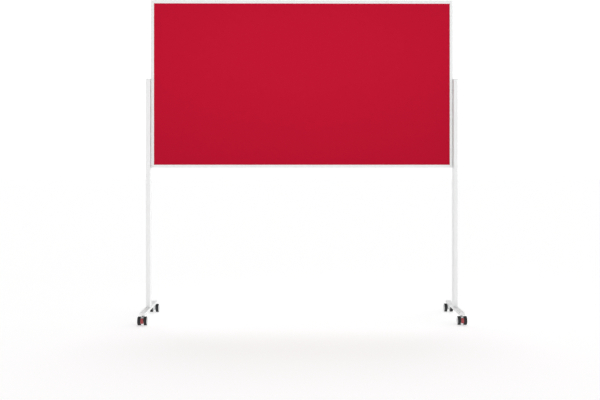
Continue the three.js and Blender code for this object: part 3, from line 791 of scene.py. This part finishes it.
def pedal_piece(name):
    """Brake pedal: two ears on the axle and a curved plate with a ribbed, rimmed foot pad."""
    outer, inner = PEDAL_RADIUS, PEDAL_RADIUS - PEDAL_PLATE
    high, low = PEDAL_HIGH, PEDAL_LOW
    low_corner, high_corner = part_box("brake_pedal_front_left")
    half = (high_corner.x - low_corner.x) / 2
    outline = arc(outer, high, low, 24) + arc(inner, low, 188, 10)
    outline += arc(PEDAL_BOSS, 225, 468, 40) + arc(inner, 150, high, 6)
    hole = circle(AXLE_RADIUS + GAP, 36)
    pedal = prism(name, [outline, hole], -half, half, ALONG_X)
    hollow = arc(outer + 1 * MM, high + PAD_INSET, low - PAD_INSET, 20)
    hollow += arc(outer - PAD_DEPTH, low - PAD_INSET, high + PAD_INSET, 20)
    pad = half - PAD_RIM
    combine(pedal, prism("dish", [hollow], -pad, pad, ALONG_X))
    pitch = (low - high - 22) / PAD_RIBS
    across = half - 3.4 * MM
    for rib in range(PAD_RIBS):
        start = high + 13 + pitch * rib
        end = start + pitch * 0.45
        bar = arc(outer - 0.1 * MM, start, end, 3) + arc(inner, end, start, 3)
        bar = prism("bar", [bar], -across, across, ALONG_X)
        combine(pedal, bar, operation="UNION")
    slot_half = RIB / 2 + GAP
    slot = prism("slot", [circle(inner - 1.5 * MM, 72)], -slot_half, slot_half, ALONG_X)
    combine(pedal, slot)
    moved(pedal, AXLE_SPOT)
    return moulded(pedal, voxel=0.3 * MM, relax=3)


def make_castor(castor, templates):
    """Places copies of the template pieces at one castor."""
    swivel = Vector(JOINTS[f"swivel_{castor}"]["pos_m"])
    braked = castor.startswith("front")
    turn = Matrix.Rotation(0 if braked else math.pi, 4, "Z")
    place = Matrix.Translation((swivel.x, swivel.y, 0)) @ turn

    def copy(template, name, matrix):
        piece = bpy.data.objects.new(name, templates[template].data.copy())
        bpy.context.scene.collection.objects.link(piece)
        return moved(piece, matrix)

    body = f"castor_{castor}"
    stem = copy("stem", f"threaded_stem_{castor}", place)
    finish_piece(stem, "steel", "stand", "steel", f"castor_stem_{castor}")
    housing = copy("braked" if braked else "plain", f"castor_body_{castor}", place)
    finish_piece(housing, "castor_grey", body, "castor_grey", f"castor_housing_{castor}")
    axle = copy("axle", f"axle_pin_{castor}", place)
    finish_piece(axle, "steel", body, "steel", f"castor_axle_{castor}")
    for wheel in WHEELS:
        side = Matrix.Rotation(0 if wheel == "a" else math.pi, 4, "Z")
        spot = place @ AXLE_SPOT @ side
        end = f"{castor}_{wheel}"
        tyre = copy("tyre", f"tread_{end}", spot)
        finish_piece(tyre, "tyre_black", f"wheel_{end}", "tyre_black", f"tyre_{end}")
        hub = copy("hub", f"wheel_hub_{end}", spot)
        finish_piece(hub, "castor_grey", f"wheel_{end}", "castor_grey", f"hub_{end}")
    if braked:
        pedal = copy("pedal", f"pedal_{castor}", place)
        finish_piece(pedal, "brake_red", f"pedal_{castor}", "brake_red", f"brake_pedal_{castor}")


def make_castors():
    centre = JOINTS["swivel_front_left"]["pos_m"][0]
    tyre_low, tyre_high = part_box("tyre_front_left_a")
    hub_low, hub_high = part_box("hub_front_left_a")
    axle_low, axle_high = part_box("castor_axle_front_left")
    stem_low, stem_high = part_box("castor_stem_front_left")
    foot_low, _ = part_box("foot_bar_left")
    _, housing_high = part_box("castor_housing_front_left")
    half_axle = (axle_high.x - axle_low.x) / 2
    axle_profile = filleted([
        (0, -half_axle, 0), (AXLE_RADIUS, -half_axle, 0.6 * MM), (AXLE_RADIUS, half_axle, 0.6 * MM),
        (0, half_axle, 0),
    ], 3)
    templates = {
        "tyre": tyre_piece("tyre_template", tyre_low.x - centre, tyre_high.x - centre,
                           (tyre_high.z - tyre_low.z) / 2, TYRE_BORE),
        "hub": hub_piece("hub_template", hub_low.x - centre, hub_high.x - centre,
                         (hub_high.z - hub_low.z) / 2, TYRE_BORE - GAP, half_axle + GAP),
        "stem": stem_piece("stem_template", stem_low.z, stem_high.z, (stem_high.x - stem_low.x) / 2,
                           housing_high.z + GAP, foot_low.z - GAP),
        "axle": moved(lathe("axle_template", axle_profile, 48, ALONG_X), AXLE_SPOT),
        "plain": housing_piece("plain_template", braked=False),
        "braked": housing_piece("braked_template", braked=True),
        "pedal": pedal_piece("pedal_template"),
    }
    for castor in CASTORS:
        make_castor(castor, templates)
    for template in templates.values():
        bpy.data.objects.remove(template)


# ------------------------------------------------------------------ hidden nodes keep their shape

def paint_hidden_nodes():
    """Materials for the core, keys, nuts and inserts, which keep their CAD shape."""
    kept = {"board_core": "core_board"}
    for corner in ("bottom_left", "bottom_right", "top_left", "top_right"):
        kept[f"corner_key_{corner}"] = "key_grey"
    for side in SIDES:
        kept[f"pivot_nut_{side}"] = "steel"
        kept[f"foot_insert_{side}"] = "steel"
    for node, material in kept.items():
        data = frame["nodes"][node].data
        data.materials.clear()
        data.materials.append(MATERIALS[material])


# ------------------------------------------------------------------ studio

# Light from each side of the soft surround: level, and what it gains towards +X, +Y and +Z.
SURROUND_LEVEL = 1.60
SURROUND_SLOPE = (0.40, -0.06, -1.54)
SURROUND_LEAST = 0.05
BACKDROP_LIGHT = 1.1
FLOOR_GLOW = 0.45
FLOOR_REACH = 40.0
BACK_LIGHT = 0.6
BACK_LIGHT_SPREAD = 30  # degrees
BACK_LIGHT_TILT = 35  # degrees from overhead, towards the back
FELT_LIGHT = 6.0  # watts
FELT_LIGHT_SIZE = (2.4, 0.4)
FELT_LIGHT_PLACE = (1.0, 0.3)  # in front of the felt, and below its top edge

CAMERA_DISTANCE = 5.474  # to the face of the board's frame
CAMERA_HEIGHT = 0.948
CAMERA_OFFSET = -0.054  # to the left of the board's middle
CAMERA_TURN = -0.474  # degrees, to the right
FOCAL_SHARE = 1.5268  # focal length as a share of the picture's width
HORIZON_SHARE = 0.3994  # of the picture's height, from its top
MIDDLE_SHARE = 0.001  # of the picture's width, to the right
PICTURE = (600, 400)


def make_floor():
    """Pale glowing studio floor, so that only faint shadows show on it."""
    shader = Shader("studio_floor", (0.75, 0.75, 0.75), 0.9)
    shader.set("Specular IOR Level", 0.0)
    shader.set("Emission Color", (1.0, 1.0, 1.0, 1.0))
    shader.set("Emission Strength", FLOOR_GLOW)
    reach = FLOOR_REACH
    corners = [(-reach, -reach, 0), (reach, -reach, 0), (reach, reach, 0), (-reach, reach, 0)]
    floor = mesh_object("studio_floor", corners, [(0, 1, 2, 3)])
    floor.data.materials.append(shader.material)


def make_world():
    """Soft surround: bright near the horizon, dimmer overhead, and brighter on the right."""
    world = bpy.data.worlds.new("studio")
    bpy.context.scene.world = world
    world.use_nodes = True
    tree = world.node_tree
    background = tree.nodes["Background"]
    background.inputs["Color"].default_value = (1.0, 1.0, 1.0, 1.0)

    direction = tree.nodes.new("ShaderNodeTexCoord").outputs["Generated"]
    slope = tree.nodes.new("ShaderNodeVectorMath")
    slope.operation = "DOT_PRODUCT"
    tree.links.new(direction, slope.inputs[0])
    slope.inputs[1].default_value = SURROUND_SLOPE
    raised = add_math(tree, "ADD", slope.outputs["Value"], SURROUND_LEVEL)
    level = add_math(tree, "MAXIMUM", raised, SURROUND_LEAST)
    seen = tree.nodes.new("ShaderNodeLightPath").outputs["Is Camera Ray"]
    backdrop = add_math(tree, "MULTIPLY", seen, BACKDROP_LIGHT)
    unseen = add_math(tree, "SUBTRACT", 1.0, seen)
    lighting = add_math(tree, "MULTIPLY", unseen, level)
    tree.links.new(add_math(tree, "ADD", backdrop, lighting), background.inputs["Strength"])


def make_back_light():
    """Broad soft light from above and behind, which lays the board's shadow on the floor."""
    data = bpy.data.lights.new("back_light", "SUN")
    data.energy = BACK_LIGHT
    data.angle = math.radians(BACK_LIGHT_SPREAD)
    light = bpy.data.objects.new("back_light", data)
    light.rotation_euler = (math.radians(-BACK_LIGHT_TILT), 0, 0)
    bpy.context.scene.collection.objects.link(light)


def make_felt_light(facing):
    """Weak strip light in front of the felt's upper half, which lights nothing else."""
    low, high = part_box("felt_panel")
    data = bpy.data.lights.new("felt_light", "AREA")
    data.shape = "RECTANGLE"
    data.size, data.size_y = FELT_LIGHT_SIZE
    data.energy = FELT_LIGHT
    light = bpy.data.objects.new("felt_light", data)
    forward, down = FELT_LIGHT_PLACE
    light.location = (0, low.y - forward, high.z - down)
    light.rotation_euler = (math.pi / 2, 0, 0)
    light.visible_camera = False
    bpy.context.scene.collection.objects.link(light)
    lit = bpy.data.collections.new("felt_only")
    lit.objects.link(facing)
    light.light_linking.receiver_collection = lit


def make_camera():
    """Level camera in front of the board, framed by a lens shift."""
    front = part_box("frame_top")[0].y
    data = bpy.data.cameras.new("camera")
    data.sensor_width = 36.0
    data.lens = data.sensor_width * FOCAL_SHARE
    data.shift_x = -MIDDLE_SHARE
    data.shift_y = (HORIZON_SHARE - 0.5) * PICTURE[1] / PICTURE[0]
    camera = bpy.data.objects.new("camera", data)
    camera.location = (CAMERA_OFFSET, front - CAMERA_DISTANCE, CAMERA_HEIGHT)
    camera.rotation_euler = (math.pi / 2, 0, math.radians(CAMERA_TURN))
    bpy.context.scene.collection.objects.link(camera)
    bpy.context.scene.camera = camera


make_camera()
make_rails()
felt_facing = make_faces()
make_uprights()
make_feet()
make_pivots()
make_castors()
paint_hidden_nodes()
make_floor()
make_world()
make_back_light()
make_felt_light(felt_facing)
bpy.context.scene.view_settings.view_transform = "Standard"
